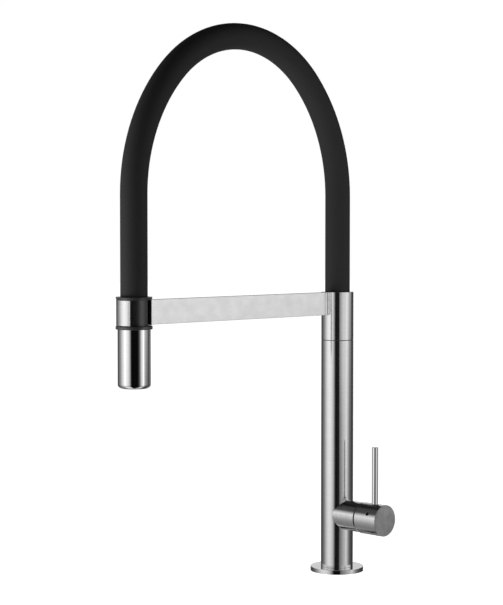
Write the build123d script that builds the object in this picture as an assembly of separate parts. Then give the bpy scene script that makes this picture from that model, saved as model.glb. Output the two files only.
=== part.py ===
from build123d import *
import os
from math import cos, hypot, radians, sin, sqrt

# Pull-down kitchen faucet, millimetres, +Z up.
# The origin is the column axis on the deck. The arm points along -Y and the valve along +X.

# Column and base
COLUMN_R = 15.0
COLUMN_BORE_R = 13.0
FLANGE_R = 24.7
FLANGE_T = 4.2
FLANGE_EDGE = 0.35
FOOT_EDGE = 0.2
GASKET_R_OUT = 22.0
GASKET_R_IN = 18.0
GASKET_T = 2.0
COLUMN_TOP = 216.1
EDGE = 0.3
PLUG_TOP = 22.0
STUD_X = 8.0
STUD_R = 3.4
STUD_DEPTH = 16.0
INLET_X = -2.5
INLET_Y = 6.6
INLET_R = 4.6
INLET_DEPTH = 13.0

# Water pipes inside the column
FEED_R = 3.2
FEED_BORE_R = 2.2
SOCKET = 4.0
PIPE_BEND_R = 8.0
PORT_X = -8.6
PORT_Y = 4.2
RISER_R = 4.0
RISER_BORE_R = 3.0

# Mixing valve on the side of the column
VALVE_Z = 53.3
VALVE_R = 14.4
BOSS_R = 13.9
SADDLE_GROOVE = 0.4
SADDLE_DEPTH = 1.2
SEAM_X = 33.0
CAP_END_X = 59.8
CAP_EDGE = 0.15
SEAM_EDGE = 0.35
TILT_X = 21.0
SEAM_GAP = 1.3
BALL_GAP = 0.4
BLOCK_LOW = 38.0
BLOCK_TOP = 69.0
SEAT_X = -5.0
HOUSING_R = 11.0
HOUSING_BORE_R = 9.5
HOUSING_END_X = 24.0
NUT_R = 12.5
NUT_BORE_R = 8.8
NUT_END_X = 31.5
FIXED_DISC_X = 3.0
FIXED_DISC_T = 3.0
MOVING_DISC_R = 6.5
MOVING_DISC_T = 2.9
MOVING_DISC_DROP = 1.5
CARRIER_T = 5.0
TONGUE_T = 2.0
TONGUE_HALF = 3.0
RUN = 0.05
STEM_ARM = 8.0
STEM_ARM_R = 1.5
BALL_R = 2.0
STEM_NECK_R = 2.9
STEM_R = 4.0
STEM_END_X = 52.0
PIN_R = 1.2
LEVER_X = 47.5
LEVER_R = 2.85
LEVER_TOP = 119.8
LEVER_SEAT = 5.5
SCREW_X = 49.6
SCREW_R = 1.6
SCREW_ANGLE = 63.0
SCREW_SUNK = 1.2
SCREW_HEX = 1.5
SCREW_HEX_DEPTH = 1.5

# Swivel between the column and the collar
WASHER_R = 14.85
WASHER_T = 0.5
SWIVEL_EDGE = 0.15
SPIGOT_LOW = 196.0
SPIGOT_TOP = 243.5
SPIGOT_R = 9.0
SPIGOT_BORE_R = 4.5
SEAL_T = 2.0
SEAL_HEIGHTS = {"spigot_seal_low": 223.0, "spigot_seal_high": 230.0}
CLIP_Z = 240.2
CLIP_T = 1.2
CLIP_R = 10.4
BUSH_TOP = 240.0
COLLAR_TOP = 261.0
COLLAR_BORE_R = 11.0
UNION_LOW = 246.5
UNION_TOP = 252.0

# Arm and docking fork
REACH = 248.5
ARM_T = 3.0
ARM_H = 21.3
WELD_R = 2.5
WELD_LIP = 0.05
FORK_R = 15.0
SLOT_R = 11.85
TIP_X = 8.7
FORK_EDGE = 0.2

# Hose
HOSE_R = 11.5
HOSE_BORE_R = 8.5
HOSE_START = 254.0
HOSE_STRAIGHT = 349.2
HOSE_RISE = 139.2
HOSE_TURN = 45.0
INNER_R = 6.5
INNER_BORE_R = 4.5
TAIL_R = 5.5
TAIL_BORE_R = 3.0
TAIL_LOW = 244.5
TAIL_CLIP_Z = 245.4
FERRULE_LEN = 12.0

# Spray head
HUB_R = 11.5
HUB_FLANGE_R = 15.5
HUB_FLANGE_T = 2.6
HUB_TAPER = 0.7
HUB_GAP = 0.35
HUB_REST_T = 2.85
HUB_REST_EDGE = 0.5
HUB_BORE_R = 8.0
HUB_SPIGOT_LOW = 226.0
SHELL_R = 13.9
SHELL_BORE_R = 12.3
SHELL_LOW = 187.0
SHELL_LIP_R = 11.0
SHELL_LIP_T = 2.0
SHELL_FILLET = 3.4
CORE_TOP = 244.0
CORE_LOW = 192.0
CORE_CHAMBER_R = 10.8
CORE_CHAMBER_TOP = 212.0
CORE_BORE_R = 3.5
NUT_Z = 249.0
HOSE_NUT_TOP = 256.0
NOZZLE_COUNT = 18
NOZZLE_RING_R = 8.3
NOZZLE_R = 0.9
NOZZLE_SUNK = 0.2
AERATOR_R = 5.0

ARM_TOP = COLLAR_TOP
ARM_LOW = COLLAR_TOP - ARM_H
WASHER_TOP = COLUMN_TOP + WASHER_T
HUB_TOP = ARM_TOP + RUN + HUB_FLANGE_T
HUB_LOW = ARM_LOW - HUB_GAP - HUB_REST_T
HOSE_END = HUB_TOP - 2.0


def rod(r, z0, z1, x=0.0, y=0.0):
    return Pos(x, y, (z0 + z1) / 2) * Cylinder(r, z1 - z0)


def ring(r_out, r_in, z0, z1, x=0.0, y=0.0):
    return rod(r_out, z0, z1, x, y) - rod(r_in, z0, z1, x, y)


def xrod(r, x0, x1, y=0.0, z=VALVE_Z):
    return Pos((x0 + x1) / 2, y, z) * Rot(0, 90, 0) * Cylinder(r, x1 - x0)


def yrod(r, y0, y1, x, z):
    return Pos(x, (y0 + y1) / 2, z) * Rot(90, 0, 0) * Cylinder(r, y1 - y0)


def box(x0, x1, y0, y1, z0, z1):
    return Pos((x0 + x1) / 2, (y0 + y1) / 2, (z0 + z1) / 2) * Box(x1 - x0, y1 - y0, z1 - z0)


def turned(*curves):
    outline = [Plane.XZ * edge for curve in curves for edge in curve.edges()]
    return Pos(0, 0, VALVE_Z) * revolve(make_face(outline), Axis.X)


def save(name, shape):
    solids = shape.solids()
    assert len(solids) == 1, (name, len(solids))
    solid = solids[0]
    solid.label = name
    export_step(solid, os.path.join("parts", name + ".step"))


def top_edges(shape, axis=Axis.Z):
    return shape.edges().filter_by(GeomType.CIRCLE).group_by(axis)[-1]


os.makedirs("parts", exist_ok=True)

# Base: flange ring on the deck, gasket in its underside, plug that carries the threads
gasket = ring(GASKET_R_OUT, GASKET_R_IN, 0, GASKET_T)
flange = ring(FLANGE_R, COLUMN_BORE_R, 0, FLANGE_T)
flange = fillet(top_edges(flange).sort_by(SortBy.RADIUS)[-1], FLANGE_EDGE)
save("base_flange", flange - gasket)
save("base_gasket", gasket)

plug = rod(COLUMN_BORE_R, 0, PLUG_TOP) - rod(STUD_R, 0, STUD_DEPTH, STUD_X)
for side in (-1, 1):
    plug -= rod(INLET_R, 0, INLET_DEPTH, INLET_X, side * INLET_Y)
    plug -= rod(FEED_BORE_R, INLET_DEPTH, PLUG_TOP, INLET_X, side * INLET_Y)
    plug -= rod(FEED_R, PLUG_TOP - SOCKET, PLUG_TOP, INLET_X, side * INLET_Y)
save("base_plug", plug)

# Column tube, valve boss welded to its side, and the block brazed inside
tube = ring(COLUMN_R, COLUMN_BORE_R, FLANGE_T, COLUMN_TOP)
tube_rims = tube.edges().filter_by(GeomType.CIRCLE).group_by(SortBy.RADIUS)[-1].sort_by(Axis.Z)
tube = chamfer(tube_rims[-1], SWIVEL_EDGE)
tube_rims = tube.edges().filter_by(GeomType.CIRCLE).group_by(SortBy.RADIUS)[-1].sort_by(Axis.Z)
tube = chamfer(tube_rims[0], FOOT_EDGE)
save("column_tube", tube - xrod(HOUSING_R, 0, COLUMN_R + 1))

boss_edge_r = BOSS_R - SEAM_EDGE
seam_ball_r = hypot(boss_edge_r, SEAM_X - TILT_X)


def ball_x_at(ball_r, r):
    return TILT_X + sqrt(ball_r**2 - r**2)


boss_end = (ball_x_at(seam_ball_r, NUT_R), NUT_R)
boss_middle_r = (NUT_R + boss_edge_r) / 2
boss = turned(
    Polyline((SEAM_X, boss_edge_r), (SEAM_X - SEAM_EDGE, BOSS_R), (0, BOSS_R), (0, HOUSING_R),
             (HOUSING_END_X, HOUSING_R), (HOUSING_END_X, NUT_R), boss_end),
    ThreePointArc(boss_end, (ball_x_at(seam_ball_r, boss_middle_r), boss_middle_r), (SEAM_X, boss_edge_r)),
)
boss -= rod(COLUMN_R, VALVE_Z - 2 * BOSS_R, VALVE_Z + 2 * BOSS_R)
groove = rod(COLUMN_R + SADDLE_GROOVE, VALVE_Z - 2 * BOSS_R, VALVE_Z + 2 * BOSS_R)
boss -= groove - xrod(BOSS_R - SADDLE_DEPTH, 0, SEAM_X)
save("valve_boss", boss)

cold_port_z = VALVE_Z - 4.5
outlet_z = VALVE_Z + 5.0
block = rod(COLUMN_BORE_R, BLOCK_LOW, BLOCK_TOP) - xrod(HOUSING_R, SEAT_X, COLUMN_R)
for side in (-1, 1):
    block -= rod(FEED_R, BLOCK_LOW, BLOCK_LOW + SOCKET, PORT_X, side * PORT_Y)
    block -= rod(FEED_BORE_R, BLOCK_LOW, cold_port_z, PORT_X, side * PORT_Y)
    block -= xrod(FEED_BORE_R, PORT_X, SEAT_X, side * PORT_Y, cold_port_z)
block -= rod(RISER_R, BLOCK_TOP - SOCKET, BLOCK_TOP, PORT_X)
block -= rod(RISER_BORE_R, outlet_z, BLOCK_TOP, PORT_X)
block -= xrod(RISER_BORE_R, PORT_X, SEAT_X, 0, outlet_z)
save("valve_block", block)


def pipe(start, end, r_out, r_in):
    low = Vector(start) + Vector(0, 0, SOCKET + PIPE_BEND_R / 3)
    high = Vector(end) - Vector(0, 0, SOCKET + PIPE_BEND_R / 3)
    path = FilletPolyline(start, low, high, end, radius=PIPE_BEND_R)
    section = Pos(*start) * (Circle(r_out) - Circle(r_in))
    return sweep(section, path=path)


for name, side in (("cold_feed_pipe", 1), ("hot_feed_pipe", -1)):
    foot = (INLET_X, side * INLET_Y, PLUG_TOP - SOCKET)
    head = (PORT_X, side * PORT_Y, BLOCK_LOW + SOCKET)
    save(name, pipe(foot, head, FEED_R, FEED_BORE_R))
riser_foot = (PORT_X, 0, BLOCK_TOP - SOCKET)
riser_head = (0, 0, SPIGOT_LOW + SOCKET)
save("riser_pipe", pipe(riser_foot, riser_head, RISER_R, RISER_BORE_R))

# Ceramic cartridge, fixed pieces
GASKET_END_X = SEAT_X + 1.0
ports = [(side * PORT_Y, cold_port_z, FEED_BORE_R) for side in (-1, 1)] + [(0, outlet_z, RISER_BORE_R)]
housing = xrod(HOUSING_R, SEAT_X, HOUSING_END_X) - xrod(HOUSING_BORE_R, SEAT_X, HOUSING_END_X)
save("cartridge_housing", housing)
stations = (
    ("port_gasket", SEAT_X, GASKET_END_X),
    ("cartridge_base", GASKET_END_X, FIXED_DISC_X),
    ("fixed_disc", FIXED_DISC_X, FIXED_DISC_X + FIXED_DISC_T),
)
for name, x0, x1 in stations:
    plate = xrod(HOUSING_BORE_R, x0, x1)
    for port_y, port_z, port_r in ports:
        plate -= xrod(port_r, x0, x1, port_y, port_z)
    save(name, plate)
nut = xrod(NUT_R, HOUSING_END_X, NUT_END_X) - xrod(NUT_BORE_R, HOUSING_END_X, NUT_END_X)
save("cartridge_nut", nut)

# Cartridge, moving disc with its carrier
moving_x = FIXED_DISC_X + FIXED_DISC_T + RUN
carrier_x = moving_x + MOVING_DISC_T
tongue_x = carrier_x + CARRIER_T
disc_z = VALVE_Z - MOVING_DISC_DROP
disc = xrod(MOVING_DISC_R, moving_x, carrier_x, 0, disc_z)
disc -= xrod(MOVING_DISC_R - 2.0, moving_x, moving_x + 1.2, 0, disc_z)
save("moving_disc", disc)
ball_x = TILT_X - STEM_ARM
socket_r = BALL_R + RUN
carrier = xrod(MOVING_DISC_R, carrier_x, tongue_x, 0, disc_z)
carrier += box(tongue_x, tongue_x + TONGUE_T, -TONGUE_HALF, TONGUE_HALF, disc_z - 4, disc_z + 5)
carrier -= xrod(socket_r, ball_x - BALL_R - 0.5, tongue_x + TONGUE_T)
carrier -= box(ball_x, tongue_x + TONGUE_T, -socket_r, socket_r, VALVE_Z - 4.0, VALVE_Z)
save("disc_carrier", carrier)

# Cartridge, rotor with the tilt pin
rotor_x = tongue_x + RUN
rotor_end_x = HOUSING_END_X - RUN
slot_half = TONGUE_HALF + RUN
rotor = xrod(HOUSING_BORE_R - RUN, rotor_x, rotor_end_x)
rotor -= box(rotor_x, rotor_end_x, -slot_half, slot_half, VALVE_Z - 7.0, VALVE_Z + 8.0)
rotor -= yrod(PIN_R, -HOUSING_BORE_R, HOUSING_BORE_R, TILT_X, VALVE_Z)
save("cartridge_rotor", rotor)
save("pivot_pin", yrod(PIN_R, -8.5, 8.5, TILT_X, VALVE_Z))

# Handle: stem, cap, lever rod and grub screw
screw_y = -sin(radians(SCREW_ANGLE))
screw_z = cos(radians(SCREW_ANGLE))


def on_screw(d):
    return Pos(SCREW_X, d * screw_y, VALVE_Z + d * screw_z) * Rot(SCREW_ANGLE, 0, 0)


def screw_rod(r, d0, d1):
    return on_screw((d0 + d1) / 2) * Cylinder(r, d1 - d0)


stem = xrod(STEM_ARM_R, ball_x, TILT_X) + Pos(ball_x, 0, VALVE_Z) * Sphere(BALL_R)
stem += xrod(STEM_NECK_R, TILT_X - 3.0, NUT_END_X)
stem += xrod(STEM_R, TILT_X + 5.0, STEM_END_X)
stem -= yrod(PIN_R + RUN, -STEM_R, STEM_R, TILT_X, VALVE_Z)
stem -= screw_rod(SCREW_R, STEM_R - 0.6, STEM_R + 1)
save("cartridge_stem", stem)

hollow_r = seam_ball_r + BALL_GAP
rim_x = SEAM_X + SEAM_GAP
rim = (rim_x, sqrt(hollow_r**2 - (rim_x - TILT_X) ** 2))
throat = (ball_x_at(hollow_r, STEM_R), STEM_R)
hollow_middle_r = VALVE_R / sqrt(2)
cap = turned(
    ThreePointArc(rim, (ball_x_at(hollow_r, hollow_middle_r), hollow_middle_r), throat),
    Polyline(throat, (STEM_END_X, STEM_R), (STEM_END_X, 0), (CAP_END_X, 0),
             (CAP_END_X, VALVE_R - CAP_EDGE), (CAP_END_X - CAP_EDGE, VALVE_R),
             (rim_x + SEAM_EDGE, VALVE_R), (rim_x, VALVE_R - SEAM_EDGE), rim),
)
lever_seat_z = VALVE_Z + LEVER_SEAT
cap -= rod(LEVER_R, lever_seat_z, VALVE_Z + VALVE_R + 1, LEVER_X)
cap -= screw_rod(SCREW_R, STEM_R - 0.6, VALVE_R + 1)
save("handle_cap", cap)
lever = rod(LEVER_R, lever_seat_z, LEVER_TOP, LEVER_X)
save("lever_rod", chamfer(top_edges(lever), EDGE))
screw_top = VALVE_R - SCREW_SUNK
screw = screw_rod(SCREW_R, STEM_R - 0.6, screw_top)
socket = extrude(RegularPolygon(SCREW_HEX / 2, 6, major_radius=False), SCREW_HEX_DEPTH)
save("handle_screw", screw - on_screw(screw_top - SCREW_HEX_DEPTH) * socket)

# Swivel: spigot fixed in the column top, seals, washer and clip
spigot = rod(COLUMN_BORE_R, SPIGOT_LOW, COLUMN_TOP) + rod(SPIGOT_R, COLUMN_TOP, SPIGOT_TOP)
spigot -= rod(SPIGOT_BORE_R, SPIGOT_LOW + SOCKET, SPIGOT_TOP)
spigot -= rod(RISER_R, SPIGOT_LOW, SPIGOT_LOW + SOCKET)
for name, z in SEAL_HEIGHTS.items():
    spigot -= ring(SPIGOT_R, SPIGOT_R - SEAL_T, z, z + SEAL_T)
    save(name, ring(SPIGOT_R, SPIGOT_R - SEAL_T, z, z + SEAL_T))
spigot -= ring(SPIGOT_R, SPIGOT_R - 1.0, CLIP_Z, CLIP_Z + CLIP_T)
save("swivel_spigot", spigot)
save("retaining_ring", ring(CLIP_R, SPIGOT_R - 1.0, CLIP_Z, CLIP_Z + CLIP_T))
save("swivel_washer", ring(WASHER_R, SPIGOT_R, COLUMN_TOP, WASHER_TOP))

# Collar that turns on the spigot, its bush, and the union that takes the hose
collar_low = WASHER_TOP + RUN
collar = ring(COLUMN_R, COLLAR_BORE_R, collar_low, COLLAR_TOP)
collar -= rod(HOSE_R + RUN, UNION_TOP, COLLAR_TOP)
collar = chamfer(collar.edges().filter_by(GeomType.CIRCLE).group_by(SortBy.RADIUS)[-1], SWIVEL_EDGE)
save("swivel_collar", collar)
save("collar_bush", ring(COLLAR_BORE_R, SPIGOT_R + RUN, collar_low, BUSH_TOP))
save("hose_union", ring(COLLAR_BORE_R, TAIL_R + RUN, UNION_LOW, UNION_TOP))

# Arm bar with the ground welds that blend it into the collar
arm = box(-ARM_T / 2, ARM_T / 2, -REACH, 0, ARM_LOW, ARM_TOP)
arm = chamfer(arm.edges().filter_by(Axis.Y), EDGE)
weld_x = ARM_T / 2 + WELD_R
weld_y = -sqrt((COLUMN_R + WELD_R) ** 2 - weld_x**2)
weld_end_x = weld_x * COLUMN_R / (COLUMN_R + WELD_R)
weld = box(-weld_end_x, weld_end_x, weld_y, 0, ARM_LOW + EDGE, ARM_TOP - EDGE)
for side in (-1, 1):
    weld -= rod(WELD_R + WELD_LIP, ARM_LOW, ARM_TOP, side * weld_x, weld_y)
arm += weld
arm -= rod(COLUMN_R, ARM_LOW - 1, ARM_TOP + 1)
arm -= rod(FORK_R, ARM_LOW - 1, ARM_TOP + 1, 0, -REACH)
save("dock_arm", arm)

# Open fork that holds the spray head
fork = rod(FORK_R, ARM_LOW, ARM_TOP, 0, -REACH) - rod(SLOT_R, ARM_LOW, ARM_TOP, 0, -REACH)
fork -= box(0, FORK_R, -REACH - SLOT_R, -REACH + SLOT_R, ARM_LOW, ARM_TOP)
fork -= box(TIP_X, FORK_R + 1, -REACH - FORK_R, -REACH + FORK_R, ARM_LOW, ARM_TOP)
fork_rim = fork.edges().filter_by(GeomType.CIRCLE).group_by(SortBy.RADIUS)[-1]
save("dock_fork", fillet(fork_rim, FORK_EDGE))

# Hose: three-centre arch from the collar to the spray head
half = REACH / 2
apex = HOSE_STRAIGHT + HOSE_RISE
turn_u = cos(radians(HOSE_TURN))
turn_z = sin(radians(HOSE_TURN))
spread = turn_u * turn_z - (1 - turn_u) * (1 - turn_z)
flank_r = (HOSE_RISE * turn_u - half * (1 - turn_z)) / spread
crown_r = (half * turn_z - HOSE_RISE * (1 - turn_u)) / spread
crown_z = apex - crown_r


def arch_point(side, u, z):
    return (0, -half + side * u, z)


def flank_arc(side):
    foot = arch_point(side, half, HOSE_STRAIGHT)
    head = arch_point(side, crown_r * turn_u, crown_z + crown_r * turn_z)
    mid_u = 1 + turn_u
    mid = hypot(mid_u, turn_z)
    centre_u = half - flank_r
    middle = arch_point(side, centre_u + flank_r * mid_u / mid, HOSE_STRAIGHT + flank_r * turn_z / mid)
    return foot, middle, head


def hose_path(z0, z1):
    foot, rise_mid, shoulder = flank_arc(1)
    far_foot, fall_mid, far_shoulder = flank_arc(-1)
    edges = [
        Line((0, 0, z0), foot),
        ThreePointArc(foot, rise_mid, shoulder),
        ThreePointArc(shoulder, arch_point(1, 0, apex), far_shoulder),
        ThreePointArc(far_shoulder, fall_mid, far_foot),
        Line(far_foot, (0, -REACH, z1)),
    ]
    return Wire(edges)


def hose(z0, z1, r_out, r_in):
    section = Pos(0, 0, z0) * (Circle(r_out) - Circle(r_in))
    return sweep(section, path=hose_path(z0, z1))


tail_barb_top = HOSE_START + FERRULE_LEN + 2.0
save("hose_sleeve", hose(HOSE_START, HOSE_END, HOSE_R, HOSE_BORE_R))
tail = rod(TAIL_R, TAIL_LOW, HOSE_START) + rod(HOSE_R - 0.25, UNION_TOP + RUN, HOSE_START)
tail += rod(INNER_BORE_R, HOSE_START, tail_barb_top)
tail -= rod(TAIL_BORE_R, TAIL_LOW, tail_barb_top)
tail_seal_z = UNION_LOW + 2.0
tail_seal = ring(TAIL_R, TAIL_R - 1.2, tail_seal_z, tail_seal_z + 1.6)
tail -= tail_seal
tail_clip = ring(TAIL_R + 2.0, TAIL_R - 0.8, TAIL_CLIP_Z, TAIL_CLIP_Z + 1.0)
tail -= tail_clip
save("hose_tail", tail)
save("tail_seal", tail_seal)
save("tail_clip", tail_clip)
save("tail_ferrule", ring(HOSE_BORE_R, INNER_R, HOSE_START, HOSE_START + FERRULE_LEN))

# Spray end of the hose: swivelling tail held by the nut in the hub
inner_end = HOSE_NUT_TOP + 1.0
save("inner_hose", hose(HOSE_START, inner_end, INNER_R, INNER_BORE_R))
washer_top = CORE_TOP + 2.0
neck_r = 5.0
flange_r = 7.5
end_tail = rod(flange_r, washer_top + RUN, NUT_Z - RUN, 0, -REACH)
end_tail += rod(neck_r, NUT_Z - RUN, inner_end, 0, -REACH)
end_tail += rod(INNER_BORE_R, inner_end, HOSE_END + FERRULE_LEN, 0, -REACH)
end_tail -= rod(TAIL_BORE_R, washer_top, HOSE_END + FERRULE_LEN, 0, -REACH)
save("spray_tail", end_tail)
ferrule = ring(HOSE_BORE_R, INNER_R, HOSE_END + 0.5, HOSE_END + 0.5 + FERRULE_LEN, 0, -REACH)
save("spray_ferrule", ferrule)

# Spray head
hub = rod(HUB_R, HUB_LOW, HUB_TOP, 0, -REACH)
collar_cone = Cone(HUB_FLANGE_R - HUB_TAPER, HUB_FLANGE_R, HUB_FLANGE_T)
hub += Pos(0, -REACH, HUB_TOP - HUB_FLANGE_T / 2) * fillet(top_edges(collar_cone), EDGE)
rest = rod(HUB_FLANGE_R, HUB_LOW, HUB_LOW + HUB_REST_T, 0, -REACH)
hub += fillet(rest.edges().filter_by(GeomType.CIRCLE), HUB_REST_EDGE)
hub += rod(SHELL_BORE_R, HUB_SPIGOT_LOW, HUB_LOW, 0, -REACH)
hub -= rod(HUB_BORE_R, HUB_SPIGOT_LOW, HUB_TOP, 0, -REACH)
hub -= rod(HOSE_R + RUN, HOSE_END - RUN, HUB_TOP, 0, -REACH)
save("spray_hub", hub)
save("hose_nut", ring(HUB_BORE_R, neck_r + RUN, NUT_Z, HOSE_NUT_TOP, 0, -REACH))
save("hose_washer", ring(HUB_BORE_R, CORE_BORE_R, CORE_TOP, washer_top, 0, -REACH))

valve_low = 228.0
valve_top = 241.0
valve_r = 5.2
core = rod(SHELL_BORE_R, CORE_LOW, HUB_SPIGOT_LOW, 0, -REACH)
core += rod(HUB_BORE_R, HUB_SPIGOT_LOW, CORE_TOP, 0, -REACH)
core -= rod(CORE_CHAMBER_R, CORE_LOW, CORE_CHAMBER_TOP, 0, -REACH)
core -= rod(CORE_BORE_R, CORE_CHAMBER_TOP, CORE_TOP, 0, -REACH)
core -= rod(valve_r, valve_low, CORE_TOP, 0, -REACH)
save("spray_core", core)
save("check_valve", ring(valve_r, 2.2, valve_low, valve_top, 0, -REACH))

shell = rod(SHELL_R, SHELL_LOW, HUB_LOW, 0, -REACH)
shell = fillet(shell.edges().filter_by(GeomType.CIRCLE).group_by(Axis.Z)[0], SHELL_FILLET)
shell -= rod(SHELL_BORE_R, SHELL_LOW + SHELL_LIP_T, HUB_LOW, 0, -REACH)
shell -= rod(SHELL_LIP_R, SHELL_LOW, SHELL_LOW + SHELL_LIP_T, 0, -REACH)
save("spray_shell", shell)

face_low = SHELL_LOW + 0.4
tip_low = SHELL_LOW + NOZZLE_SUNK
lip_top = SHELL_LOW + SHELL_LIP_T
face = rod(SHELL_BORE_R, lip_top, CORE_LOW, 0, -REACH)
face += rod(SHELL_LIP_R, face_low, lip_top, 0, -REACH)
face -= rod(AERATOR_R, face_low, CORE_LOW, 0, -REACH)
nozzles = ring(CORE_CHAMBER_R, NOZZLE_RING_R - 1.8, CORE_LOW, CORE_LOW + 1.2, 0, -REACH)
nozzle_bores = []
for step in range(NOZZLE_COUNT):
    angle = radians(360 * step / NOZZLE_COUNT)
    x = NOZZLE_RING_R * cos(angle)
    y = -REACH + NOZZLE_RING_R * sin(angle)
    face -= rod(NOZZLE_R, face_low, CORE_LOW, x, y)
    nozzles += rod(NOZZLE_R, tip_low, CORE_LOW, x, y)
    nozzle_bores.append(rod(NOZZLE_R / 2, tip_low, CORE_LOW + 1.2, x, y))
save("spray_face", face)
save("spray_nozzles", nozzles - nozzle_bores)

aerator = rod(AERATOR_R, face_low + 0.4, CORE_LOW + 5.0, 0, -REACH)
aerator += rod(AERATOR_R + 0.9, CORE_LOW, CORE_LOW + 1.2, 0, -REACH)
holes = [rod(0.7, face_low, CORE_LOW + 6.0, 0, -REACH)]
for ring_r, count in ((1.9, 6), (3.7, 12)):
    for step in range(count):
        angle = radians(360 * step / count)
        holes.append(rod(0.6, face_low, CORE_LOW + 6.0, ring_r * cos(angle), -REACH + ring_r * sin(angle)))
save("aerator", aerator - holes)
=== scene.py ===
import math
import bpy
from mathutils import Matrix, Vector


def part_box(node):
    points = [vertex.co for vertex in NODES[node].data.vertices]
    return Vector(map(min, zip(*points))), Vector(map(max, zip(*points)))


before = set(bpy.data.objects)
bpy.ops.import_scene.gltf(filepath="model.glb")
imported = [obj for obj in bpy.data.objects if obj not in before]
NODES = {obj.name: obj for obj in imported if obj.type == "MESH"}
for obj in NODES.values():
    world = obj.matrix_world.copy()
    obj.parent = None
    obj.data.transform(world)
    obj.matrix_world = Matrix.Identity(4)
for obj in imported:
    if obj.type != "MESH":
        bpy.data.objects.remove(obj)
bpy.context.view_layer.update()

# Viewing angle of the photograph, in metres and degrees, with the sensor in millimetres
IMAGE_HEIGHT = 605
FOCAL_PIXELS = 1800.0
SENSOR = 36.0
CAMERA_AZIMUTH = 45.77
CAMERA_DISTANCE = 1.6746
CAMERA_LEFT = 0.0800
CAMERA_HEIGHT = 0.3281
CAMERA_PITCH = 2.64
CAMERA_REACH = 20.0

# Plain white light
WHITE = (1, 1, 1, 1)
# Settings of nodes that work out sums and tints
TIMES = {"operation": "MULTIPLY"}
PLUS = {"operation": "ADD"}
TINT = {"data_type": "RGBA", "blend_type": "MULTIPLY"}


def linear(hex_colour):
    """A linear RGBA from an sRGB hex value."""
    out = []
    for i in (1, 3, 5):
        c = int(hex_colour[i:i + 2], 16) / 255
        out.append(c / 12.92 if c <= 0.04045 else ((c + 0.055) / 1.055) ** 2.4)
    return (*out, 1.0)


def per_metre(millimetres):
    """Pattern scale that repeats about every so many millimetres."""
    return 1000 / millimetres


def node(tree, kind, settings=None, **links):
    """Adds a shader node with its settings and links.

    A link names an input, or numbers it as i0 or i1, and gives it a value or another node's output.
    """
    made = tree.nodes.new(kind)
    for key, value in (settings or {}).items():
        setattr(made, key, value)
    for key, value in links.items():
        key = key.replace("_", " ")
        numbered = key[0] == "i" and key[1:].isdigit()
        socket = made.inputs[int(key[1:])] if numbered else made.inputs[key]
        if isinstance(value, bpy.types.NodeSocket):
            tree.links.new(value, socket)
        else:
            socket.default_value = value
    return made


def new_material(name):
    """An empty finish: the material, its nodes and its shader."""
    material = bpy.data.materials.new(name)
    material.use_nodes = True
    tree = material.node_tree
    return material, tree, tree.nodes["Principled BSDF"]


def paint(material, *names):
    """Gives CAD nodes their finish."""
    for name in names:
        mesh = NODES[name].data
        mesh.materials.clear()
        mesh.materials.append(material)


# Finishes

# Range that a noise mostly stays in
NOISE = {"From_Min": 0.3, "From_Max": 0.7}
# Scratches are about 0.25 mm across and 12 mm long, coarser than real so that they show, and coarser still
# on the valve
FINE = per_metre(0.25)
COARSE = per_metre(0.6)
LONG = per_metre(12)
SCRATCH_DEPTH = 0.00002
# Cloudy patches that grinding leaves in a satin face
PATCH = per_metre(10)
# Depth of a grit as a share of its width
GRIT_DEPTH = 1 / 8
# How far a grit changes the colour, as a share
GRIT_TONES = (0.92, 1.08)
# How far scratches and grit change the roughness, as a share
SCRATCH_SPREAD = (0.8, 1.25)
GRIT_SPREAD = (0.9, 1.1)
# The same scale along every axis
EVEN = (1, 1, 1)


def object_pattern(tree, scale):
    """Object coordinates times a scale along each axis, which stretches a pattern where they differ."""
    place = node(tree, "ShaderNodeTexCoord").outputs["Object"]
    return node(tree, "ShaderNodeMapping", Vector=place, Scale=scale).outputs["Vector"]


def dress(tree, shader, colour, tone, grain, roughness, spread, bump, depth):
    """Colour with its tone, and the roughness and relief that follow one grain."""
    base = node(tree, "ShaderNodeMix", TINT, Factor=1.0, i6=linear(colour), i7=tone)
    rough = node(tree, "ShaderNodeMapRange", Value=grain, **NOISE,
                 To_Min=roughness * spread[0], To_Max=roughness * spread[1])
    relief = node(tree, "ShaderNodeBump", Strength=bump, Distance=depth, Height=grain)
    tree.links.new(base.outputs[2], shader.inputs["Base Color"])
    tree.links.new(rough.outputs["Result"], shader.inputs["Roughness"])
    tree.links.new(relief.outputs["Normal"], shader.inputs["Normal"])


def brushed_steel(name, scratch, colour="#cacaca", roughness=0.11, bump=0.15, tones=(0.93, 1.05),
                  cloud=0.02):
    """Stainless steel, brushed: fine long scratches blur each highlight, over faint clouds."""
    material, tree, shader = new_material(name)
    scratches = node(tree, "ShaderNodeTexNoise", Vector=object_pattern(tree, scratch), Scale=1.0,
                     Detail=4.0, Roughness=0.65).outputs["Fac"]
    streaks = node(tree, "ShaderNodeMapRange", Value=scratches, **NOISE, To_Min=tones[0], To_Max=tones[1])
    patches = node(tree, "ShaderNodeTexNoise", Vector=object_pattern(tree, EVEN), Scale=PATCH, Detail=2.0)
    haze = node(tree, "ShaderNodeMapRange", Value=patches.outputs["Fac"], **NOISE,
                To_Min=1 - cloud, To_Max=1 + cloud)
    tone = node(tree, "ShaderNodeMath", TIMES, i0=streaks.outputs["Result"], i1=haze.outputs["Result"])
    dress(tree, shader, colour, tone.outputs[0], scratches, roughness, SCRATCH_SPREAD, bump, SCRATCH_DEPTH)
    shader.inputs["Metallic"].default_value = 1.0
    return material


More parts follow.
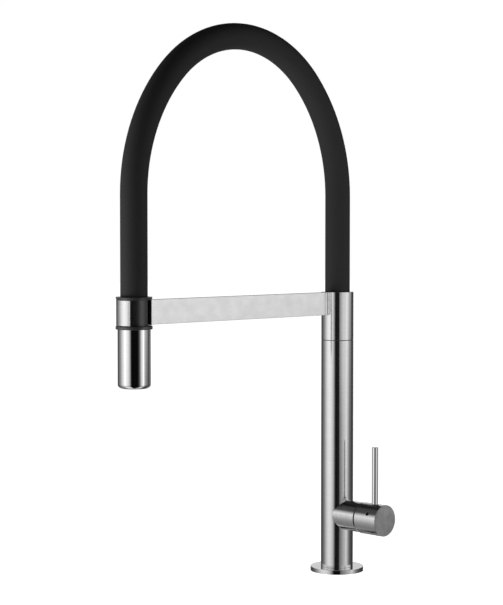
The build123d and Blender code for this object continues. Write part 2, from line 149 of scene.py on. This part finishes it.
def plain_finish(name, colour, roughness, metallic=0.0, grit=0.6, bump=0.15, specular=0.5):
    """A moulded or machined surface: one colour, with a fine grit in millimetres that breaks the gloss."""
    material, tree, shader = new_material(name)
    specks = node(tree, "ShaderNodeTexNoise", Vector=object_pattern(tree, EVEN), Scale=per_metre(grit),
                  Detail=3.0).outputs["Fac"]
    tone = node(tree, "ShaderNodeMapRange", Value=specks, **NOISE,
                To_Min=GRIT_TONES[0], To_Max=GRIT_TONES[1]).outputs["Result"]
    depth = GRIT_DEPTH / per_metre(grit)
    dress(tree, shader, colour, tone, specks, roughness, GRIT_SPREAD, bump, depth)
    shader.inputs["Metallic"].default_value = metallic
    shader.inputs["Specular IOR Level"].default_value = specular
    return material


# Column, collar and base: turned tube, whose reflections run up it in soft bands
column_steel = brushed_steel("brushed stainless, turned", (LONG, LONG, FINE))
paint(column_steel, "base_flange", "column_tube", "swivel_collar")

# Valve and handle: turned across the column, with streaks that show
valve_steel = brushed_steel("brushed stainless, turned on X", (COARSE, LONG, LONG),
                            roughness=0.18, bump=0.3, tones=(0.84, 1.10))
paint(valve_steel, "valve_boss", "handle_cap")

# Arm: flat bar ground lengthwise, hazy with soft clouds, and pale: a painted highlight, steel far lighter
# than the rest for the light on the arm
arm_steel_painted_pale = brushed_steel("satin stainless painted pale, along the arm", (FINE, LONG, FINE),
                          colour="#f4f4f4", roughness=0.36, cloud=0.055)
paint(arm_steel_painted_pale, "dock_arm")

# Dock: satin ring, between the arm and the column in gloss
fork_steel = brushed_steel("satin stainless, turned", (LONG, LONG, FINE),
                           colour="#dcdcdc", roughness=0.24, bump=0.05)
paint(fork_steel, "dock_fork")

# Spray shell: polished, with sharp black and white bands
bright_steel = brushed_steel("polished stainless", (LONG, LONG, FINE),
                             colour="#d2d2d2", roughness=0.06, bump=0.08)
paint(bright_steel, "spray_shell")

# Lever: bright drawn rod, with the sharpest bands
lever_steel = brushed_steel("bright stainless rod", (LONG, LONG, FINE),
                            colour="#d4d4d4", roughness=0.02, bump=0.02)
paint(lever_steel, "lever_rod")

# Hose and nozzles: moulded silicone, soft black with hardly any gloss
silicone = plain_finish("matt black silicone", "#2b2b2b", 0.75, specular=0.24, grit=0.4)
paint(silicone, "hose_sleeve", "spray_nozzles")

# Hub of the spray head and washer of the swivel: moulded acetal, black with a clear sheen on its edges
acetal = plain_finish("black acetal", "#303031", 0.34, specular=0.7)
paint(acetal, "spray_hub", "swivel_washer")

# Grub screw: blackened, and darker still as painted shade for its recess, a dark dot in the handle
black_steel_and_painted_shade = plain_finish("blackened steel with painted shade", "#1a1a1a", 0.45, metallic=0.6)
paint(black_steel_and_painted_shade, "handle_screw")

# Seals: moulded nitrile, dull black
dark_seal = plain_finish("black nitrile rubber", "#0c0c0c", 0.6)
paint(dark_seal, "base_gasket", "port_gasket", "spigot_seal_low", "spigot_seal_high", "tail_seal",
      "hose_washer")

# Water ways: machined brass, yellow with a fine tool grain
brass = plain_finish("machined brass", "#c8a45a", 0.28, metallic=1.0)
paint(brass, "base_plug", "valve_block", "cartridge_nut", "swivel_spigot", "hose_union", "hose_tail",
      "spray_tail", "hose_nut", "cold_feed_pipe", "hot_feed_pipe", "riser_pipe")

# Clips, ferrules and pins: plain spring steel, grey and half bright
spring_steel = plain_finish("spring steel", "#a0a09c", 0.3, metallic=1.0)
paint(spring_steel, "retaining_ring", "tail_clip", "tail_ferrule", "spray_ferrule", "pivot_pin",
      "cartridge_stem")

# Cartridge and spray face: moulded grey acetal, even and half matt
grey_acetal = plain_finish("grey acetal", "#6a6c6e", 0.45)
paint(grey_acetal, "cartridge_housing", "cartridge_base", "cartridge_rotor", "disc_carrier", "check_valve",
      "aerator", "spray_face")

# Bush, inner hose and spray core: uncoloured acetal, milky
pale_acetal = plain_finish("natural acetal", "#dcd8cc", 0.45)
paint(pale_acetal, "collar_bush", "inner_hose", "spray_core")

# Valve discs: ground ceramic, cream white with a silky face
ceramic = plain_finish("ground alumina ceramic", "#efece2", 0.3)
paint(ceramic, "fixed_disc", "moving_disc")

# Studio

# Light far off round the tap: degrees to the right of the camera, and strength.
# Two soft boxes stand either side of a dark gap for the camera, and fade out behind the tap.
SIDE_LIGHT = (
    (-180, 0.10), (-150, 0.06), (-138, 0.10), (-121, 0.25), (-108, 0.38), (-97, 0.68), (-87, 0.95),
    (-77, 1.26), (-66, 1.44), (-52, 1.42), (-44, 1.24), (-36, 1.02), (-29, 0.74), (-22, 0.28), (-17, 0.005),
    (29, 0.005), (36, 0.06), (44, 0.22), (50, 0.48), (56, 1.00), (62, 1.22), (68, 1.26), (75, 0.96),
    (82, 0.62), (90, 0.38), (99, 0.24), (110, 0.15), (125, 0.09), (145, 0.06), (180, 0.10),
)
# How the light of the boxes and the screen falls off with height: degrees above the level, and share
SIDE_HEIGHT = (
    (-90, 0.40), (-62, 0.50), (-50, 0.58), (-34, 0.56), (-24, 0.55), (-12, 0.74),
    (-4, 1.0), (4, 1.0), (11, 0.90), (16, 0.30), (22, 0.06), (90, 0.02),
)
# White cards: degrees to the right of the camera, degrees above the level, strength
WHITE_CARDS = (
    # Pale floor either side of the dark gap, and pale ceiling
    ((-360, -28), (-120, -58), 0.40),
    ((58, 360), (-120, -58), 0.40),
    ((-360, 360), (66, 120), 0.12),
    # Feet of the two soft boxes
    ((-82, -34), (-120, -46), 0.40),
    ((58, 82), (-120, -46), 0.40),
    # High on the left, then far left above and below the valve
    ((-128, -84), (8, 25), 0.88),
    ((-165, -98), (26, 52), 0.07),
    ((-150, -106), (-52, -30), 0.12),
    # On the right for the side of the arm
    ((72, 112), (0, 14), 1.2),
)
# White backdrop behind the tap, and lower down a strip at each side: degrees from the camera either way,
# degrees above the level, strength
BACK_CARDS = (
    ((162, 270), (-6, 31), 0.76),
    ((152, 172), (-36, -15), 0.76),
)
# Degrees over which half of a card's edge fades
CARD_SOFT = 8.0
# White screen near the tap, right of the camera: from its near edge it runs off at a slant
SCREEN_TURN = 12.0
SCREEN_DISTANCE = 0.46
SCREEN_SLANT = 60.0
SCREEN_LENGTH = 3.0
SCREEN_TALL = 3.6
SCREEN_LEVEL = 0.2
# Light of the screen: degrees to the right of the camera, and strength
SCREEN_LIGHT = ((0, 0.10), (12, 0.28), (16, 0.44), (30, 0.75), (38, 0.92), (46, 1.03), (180, 1.05))
# Strength that white stands for in a ramp
RAMP_PEAK = 1.5
# Low lamps that fill only the matt pieces: metres to the right and towards the camera, height, watts
LAMPS = ((-0.55, 0.30, 0.12, 2.6), (0.45, 0.40, 0.12, 1.6))
LAMP_SIZE = 0.25
LAMP_AIM = 0.30
# Lamps for one piece each: node, degrees to the right of the camera and above the piece, metres away, width,
# height, watts. Strips stand beside the arm and the spray shell, a dim pair lifts the dark band of the
# column and the collar, and a low one faces the end of the handle.
PIECE_LAMPS = [
    ("dock_arm", -24, 0, 1.0, 0.40, 0.8, 0.7),
    ("spray_shell", 71, 0, 1.0, 0.16, 0.8, 0.20),
    ("spray_shell", -62, 0, 1.0, 0.20, 0.8, 0.15),
    ("column_tube", 6, -3, 1.0, 0.60, 1.2, 0.025),
    ("swivel_collar", 6, -3, 1.0, 0.60, 1.2, 0.025),
    ("handle_cap", 0, -14, 0.13, 0.30, 0.036, 0.02),
]
# A high ring of lamps shows in the flat top of the base
PIECE_LAMPS += [("base_flange", turn, 40, 1.0, 1.2, 0.6, 1.4) for turn in range(0, 360, 60)]
# Floor, and the glow that brings it up to white
FLOOR_SIZE = 12.0
FLOOR_COLOUR = "#f4f4f4"
FLOOR_ROUGHNESS = 0.9
FLOOR_GLOW = 0.97


def beside_camera(right, front):
    """X and Y of a place that many metres right of the tap and towards the camera."""
    azimuth = math.radians(CAMERA_AZIMUTH)
    x = right * math.cos(azimuth) + front * math.sin(azimuth)
    y = right * math.sin(azimuth) - front * math.cos(azimuth)
    return x, y


def round_tap(turn, metres):
    """X and Y of a place so many degrees to the right of the camera, seen from the tap, and metres off."""
    turn = math.radians(turn)
    return beside_camera(metres * math.sin(turn), metres * math.cos(turn))


def fill_ramp(ramp, stops):
    """Sets the stops of a colour ramp from pairs of place and strength."""
    elements = ramp.color_ramp.elements
    while len(elements) > 1:
        elements.remove(elements[-1])
    for i, (place, strength) in enumerate(stops):
        element = elements[0] if i == 0 else elements.new(place)
        element.position = place
        element.color = (*[strength / RAMP_PEAK] * 3, 1)


def bearings(tree, way):
    """Turn from the camera and height above the level of a direction, in degrees."""
    way = node(tree, "ShaderNodeVectorRotate", {"rotation_type": "Z_AXIS"}, Vector=way,
               Angle=-math.radians(CAMERA_AZIMUTH))
    way = node(tree, "ShaderNodeVectorMath", {"operation": "NORMALIZE"}, i0=way.outputs["Vector"])
    axes = node(tree, "ShaderNodeSeparateXYZ", Vector=way.outputs["Vector"])
    front = node(tree, "ShaderNodeMath", TIMES, i0=axes.outputs["Y"], i1=-1.0)
    turn = node(tree, "ShaderNodeMath", {"operation": "ARCTAN2"},
                i0=axes.outputs["X"], i1=front.outputs[0])
    height = node(tree, "ShaderNodeMath", {"operation": "ARCSINE"}, i0=axes.outputs["Z"])
    both = []
    for angle in (turn, height):
        degrees = node(tree, "ShaderNodeMath", TIMES, i0=angle.outputs[0], i1=math.degrees(1))
        both.append(degrees.outputs[0])
    return both


def side_light(tree, turn, height, stops):
    """Light of the boxes or the screen: a ramp round the tap times a ramp up it."""
    light = RAMP_PEAK * RAMP_PEAK
    for value, pairs, limit in ((turn, stops, 180), (height, SIDE_HEIGHT, 90)):
        share = node(tree, "ShaderNodeMapRange", Value=value, From_Min=-limit, From_Max=limit)
        ramp = node(tree, "ShaderNodeValToRGB", Fac=share.outputs["Result"])
        fill_ramp(ramp, [((degrees + limit) / (2 * limit), strength) for degrees, strength in pairs])
        light = node(tree, "ShaderNodeMath", TIMES, i0=ramp.outputs["Color"], i1=light).outputs[0]
    return light


def card(tree, turn, height, turns, heights, strength):
    """A soft edged patch of light between two turns and two heights, all in degrees."""
    light = strength
    for value, (low, high) in ((turn, turns), (height, heights)):
        for place, start, end in ((low, 0.0, 1.0), (high, 1.0, 0.0)):
            edge = node(tree, "ShaderNodeMapRange", {"interpolation_type": "SMOOTHSTEP"}, Value=value,
                        From_Min=place - CARD_SOFT, From_Max=place + CARD_SOFT, To_Min=start, To_Max=end)
            light = node(tree, "ShaderNodeMath", TIMES, i0=edge.outputs["Result"], i1=light).outputs[0]
    return light


def build_world():
    """Sky that the steel mirrors, and that the camera sees as plain white."""
    world = bpy.data.worlds.new("studio")
    bpy.context.scene.world = world
    world.use_nodes = True
    tree = world.node_tree
    turn, height = bearings(tree, node(tree, "ShaderNodeTexCoord").outputs["Generated"])
    either_side = node(tree, "ShaderNodeMath", {"operation": "ABSOLUTE"}, i0=turn).outputs[0]
    patches = [card(tree, turn, height, *patch) for patch in WHITE_CARDS]
    patches += [card(tree, either_side, height, *patch) for patch in BACK_CARDS]
    light = side_light(tree, turn, height, SIDE_LIGHT)
    for patch in patches:
        light = node(tree, "ShaderNodeMath", PLUS, i0=light, i1=patch).outputs[0]
    rays = node(tree, "ShaderNodeLightPath")
    seen = node(tree, "ShaderNodeMath", {"operation": "MAXIMUM"}, i0=light, i1=rays.outputs["Is Camera Ray"])
    sky = tree.nodes["Background"]
    sky.inputs["Color"].default_value = WHITE
    tree.links.new(seen.outputs[0], sky.inputs["Strength"])


def screen_material():
    """White screen that glows as the boxes do, told by the bearings of each place on it."""
    material, tree = new_material("white screen")[:2]
    place = node(tree, "ShaderNodeNewGeometry").outputs["Position"]
    way = node(tree, "ShaderNodeVectorMath", {"operation": "SUBTRACT"}, i0=place, i1=(0, 0, SCREEN_LEVEL))
    turn, height = bearings(tree, way.outputs["Vector"])
    glow = node(tree, "ShaderNodeEmission", Strength=side_light(tree, turn, height, SCREEN_LIGHT))
    tree.links.new(glow.outputs["Emission"], tree.nodes["Material Output"].inputs["Surface"])
    return material


def build_screen():
    """Screen by the camera: the column sees it broadside, and the spray head only edge on."""
    near = round_tap(SCREEN_TURN, SCREEN_DISTANCE)
    half = round_tap(SCREEN_SLANT, SCREEN_LENGTH / 2)
    middle = (near[0] + half[0], near[1] + half[1], SCREEN_LEVEL)
    facing = math.radians(SCREEN_SLANT + CAMERA_AZIMUTH) - math.pi / 2
    bpy.ops.mesh.primitive_plane_add(size=1.0, location=middle, rotation=(math.pi / 2, 0, facing))
    screen = bpy.context.object
    screen.name = "screen"
    screen.scale = (SCREEN_LENGTH, SCREEN_TALL, 1)
    screen.data.materials.append(screen_material())
    screen.visible_camera = False
    screen.visible_shadow = False


def area_lamp(name, place, aim, width, tall, watts):
    """An area lamp that faces a point and that the camera doesn't see."""
    data = bpy.data.lights.new(name, "AREA")
    data.shape = "RECTANGLE"
    data.size = width
    data.size_y = tall
    data.energy = watts
    lamp = bpy.data.objects.new(name, data)
    lamp.location = place
    lamp.rotation_euler = (Vector(place) - Vector(aim)).to_track_quat("Z", "Y").to_euler()
    lamp.visible_camera = False
    bpy.context.scene.collection.objects.link(lamp)
    return lamp


def build_lamps():
    """Soft lamps below the hose, which no metal mirrors."""
    for right, front, height, watts in LAMPS:
        place = (*beside_camera(right, front), height)
        lamp = area_lamp("lamp", place, (0, 0, LAMP_AIM), LAMP_SIZE, LAMP_SIZE, watts)
        lamp.visible_glossy = False


def build_piece_lamps():
    """Soft lamps that light one piece each."""
    for name, turn, rise, distance, width, tall, watts in PIECE_LAMPS:
        low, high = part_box(name)
        centre = (Vector(low) + Vector(high)) / 2
        rise = math.radians(rise)
        x, y = round_tap(turn, distance * math.cos(rise))
        place = centre + Vector((x, y, distance * math.sin(rise)))
        lamp = area_lamp(name + " lamp", place, centre, width, tall, watts)
        lit = bpy.data.collections.new(name + " lamp")
        lit.objects.link(NODES[name])
        lamp.light_linking.receiver_collection = lit


def floor_material():
    """Pale floor that reads as white to the camera, keeps the soft shadow and is clear from below."""
    material, tree, shader = new_material("pale studio floor")
    shader.inputs["Base Color"].default_value = linear(FLOOR_COLOUR)
    shader.inputs["Roughness"].default_value = FLOOR_ROUGHNESS
    shader.inputs["Specular IOR Level"].default_value = 0.0
    shader.inputs["Emission Color"].default_value = WHITE
    rays = node(tree, "ShaderNodeLightPath")
    glow = node(tree, "ShaderNodeMath", TIMES, i0=rays.outputs["Is Camera Ray"], i1=FLOOR_GLOW)
    tree.links.new(glow.outputs[0], shader.inputs["Emission Strength"])
    under = node(tree, "ShaderNodeNewGeometry").outputs["Backfacing"]
    clear = node(tree, "ShaderNodeBsdfTransparent").outputs["BSDF"]
    either = node(tree, "ShaderNodeMixShader", Fac=under, i1=shader.outputs["BSDF"], i2=clear)
    tree.links.new(either.outputs["Shader"], tree.nodes["Material Output"].inputs["Surface"])
    return material


def build_floor():
    """Floor under the tap, which no piece mirrors or takes light from."""
    bpy.ops.mesh.primitive_plane_add(size=FLOOR_SIZE, location=(0, 0, 0))
    floor = bpy.context.object
    floor.name = "floor"
    floor.data.materials.append(floor_material())
    floor.visible_glossy = False
    floor.visible_diffuse = False


def set_camera():
    """Camera at the photograph's viewing angle."""
    data = bpy.data.cameras.new("camera")
    data.sensor_width = SENSOR
    data.lens = FOCAL_PIXELS / IMAGE_HEIGHT * SENSOR
    data.clip_end = CAMERA_REACH
    camera = bpy.data.objects.new("camera", data)
    camera.location = (*beside_camera(-CAMERA_LEFT, CAMERA_DISTANCE), CAMERA_HEIGHT)
    camera.rotation_euler = (math.radians(90 - CAMERA_PITCH), 0, math.radians(CAMERA_AZIMUTH))
    bpy.context.scene.collection.objects.link(camera)
    bpy.context.scene.camera = camera


build_world()
build_screen()
build_lamps()
build_piece_lamps()
build_floor()
set_camera()
bpy.context.scene.view_settings.view_transform = "Standard"
